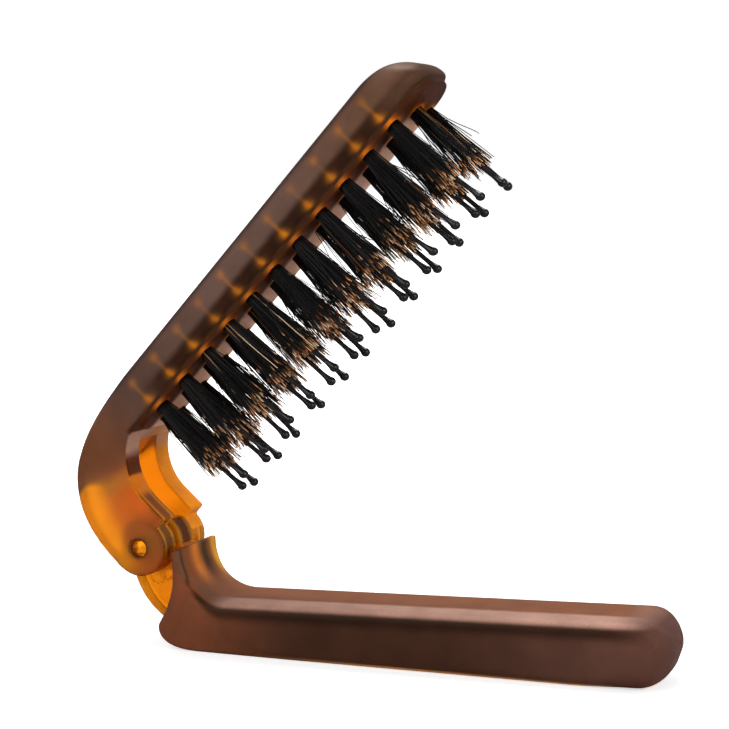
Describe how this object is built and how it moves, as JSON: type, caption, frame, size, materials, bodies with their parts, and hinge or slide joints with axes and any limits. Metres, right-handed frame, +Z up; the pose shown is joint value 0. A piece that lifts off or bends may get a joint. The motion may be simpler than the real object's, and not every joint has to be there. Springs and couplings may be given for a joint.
{
  "type": "folding hairbrush",
  "caption": "Folding pocket hairbrush of translucent brown polymer: a tufted head on a hinge folds over its handle, with a mirror set in the handle's flat underside.",
  "frame": {"origin": "centre of the bottom face of the part's box, on the flat underside of the handle, halfway across the width", "axes": "+X along the handle from the hinge to the free end, +Y along the hinge axis, +Z up from the handle's underside"},
  "size_m": [0.1226, 0.02, 0.117],
  "materials": {
    "amber_polymer": "translucent amber brown, frosted outside and polished inside the hinge",
    "amber_pin": "polished translucent amber",
    "mirror_glass": "flat silvered glass",
    "adhesive_foam": "thin grey foam tape",
    "anchor_wire": "plain flat wire",
    "boar_bristle": "natural boar bristle, near black with some brown and pale hairs",
    "nylon_pin": "glossy black nylon with ball tips"
  },
  "bodies": {
    "handle": {"handle_body": "amber_polymer", "mirror": "mirror_glass", "mirror_pad": "adhesive_foam"},
    "head": {"head_body": "amber_polymer", "hinge_pin": "amber_pin", "tuft_anchors": "anchor_wire", "bristle_row_01": "boar_bristle", "nylon_row_01": "nylon_pin", "bristle_row_02": "boar_bristle", "nylon_row_02": "nylon_pin", "bristle_row_03": "boar_bristle", "nylon_row_03": "nylon_pin", "bristle_row_04": "boar_bristle", "nylon_row_04": "nylon_pin", "bristle_row_05": "boar_bristle", "nylon_row_05": "nylon_pin", "bristle_row_06": "boar_bristle", "nylon_row_06": "nylon_pin", "bristle_row_07": "boar_bristle", "nylon_row_07": "nylon_pin", "bristle_row_08": "boar_bristle", "nylon_row_08": "nylon_pin", "bristle_row_09": "boar_bristle", "nylon_row_09": "nylon_pin", "bristle_row_10": "boar_bristle", "nylon_row_10": "nylon_pin", "bristle_row_11": "boar_bristle", "nylon_row_11": "nylon_pin", "bristle_row_12": "boar_bristle", "nylon_row_12": "nylon_pin"}
  },
  "joints": [
    {"name": "head_hinge", "type": "hinge", "parent": "handle", "child": "head", "pos_m": [-0.04749, 0, 0.0202], "axis": [0, -1, 0], "range_deg": [-48.5, 131.5]}
  ]
}
